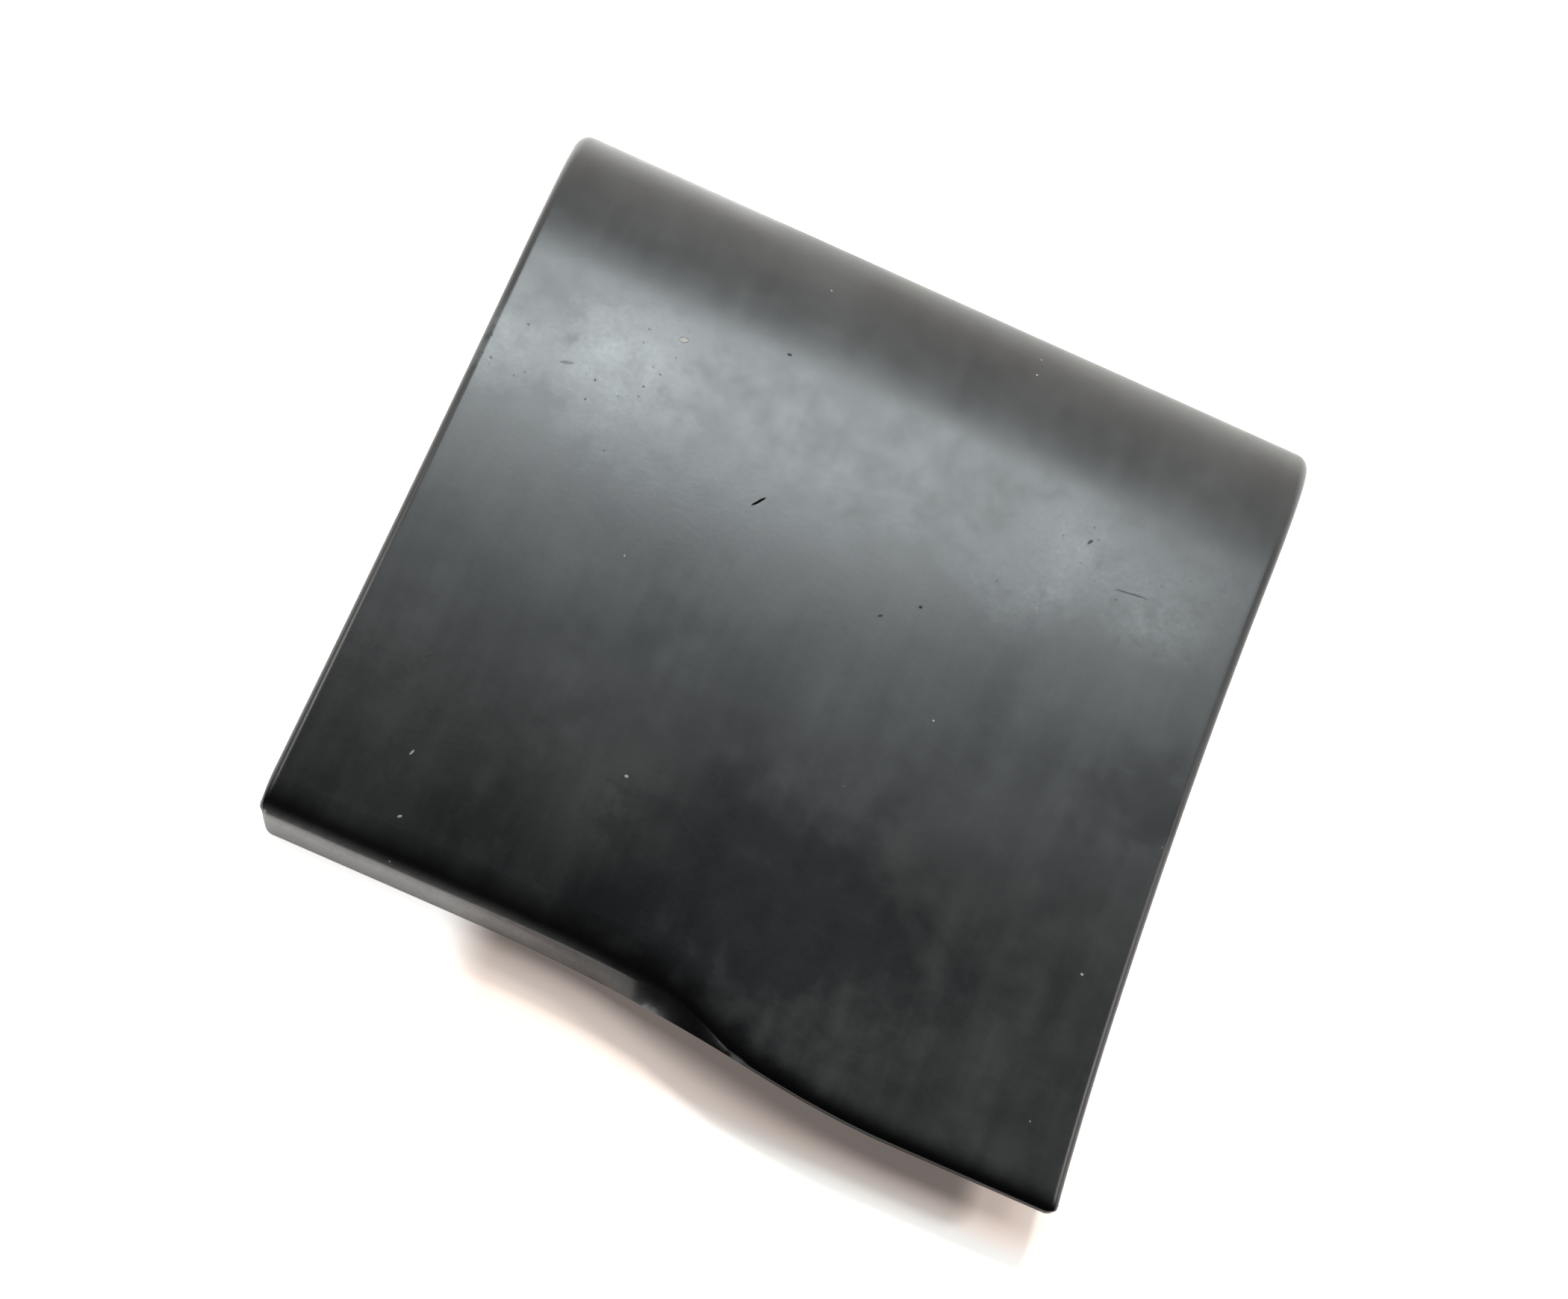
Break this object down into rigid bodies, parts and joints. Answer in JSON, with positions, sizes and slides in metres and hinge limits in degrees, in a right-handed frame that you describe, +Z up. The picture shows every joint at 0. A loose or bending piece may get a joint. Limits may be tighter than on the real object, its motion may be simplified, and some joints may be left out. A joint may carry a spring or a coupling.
{
  "type": "rubber speed bump",
  "caption": "Smooth moulded rubber speed bump module with a long ramp, a rounded nose and a lifted toe, fixed from below through hidden threaded sockets.",
  "frame": {"origin": "centre of the overall box, on the road surface under the module", "axes": "+X along the road from the left-hand end to the right-hand end, +Y in the direction of travel from the toe to the nose, +Z up"},
  "size_m": [0.3499, 0.38, 0.05],
  "materials": {
    "cover_rubber": "smooth moulded black rubber with a soft sheen and faint scuffs",
    "crumb_rubber": "matt pressed rubber crumb",
    "bar_steel": "zinc-plated flat bar",
    "socket_steel": "turned, zinc-plated",
    "sleeve_steel": "drawn tube, zinc-plated",
    "butyl": "soft matt butyl"
  },
  "bodies": {
    "root": {"rubber_cover": "cover_rubber", "crumb_core": "crumb_rubber", "front_anchor_bar": "bar_steel", "rear_anchor_bar": "bar_steel", "anchor_sockets": "socket_steel", "front_link_sleeve": "sleeve_steel", "rear_link_sleeve": "sleeve_steel", "grip_strips": "butyl"}
  },
  "joints": []
}
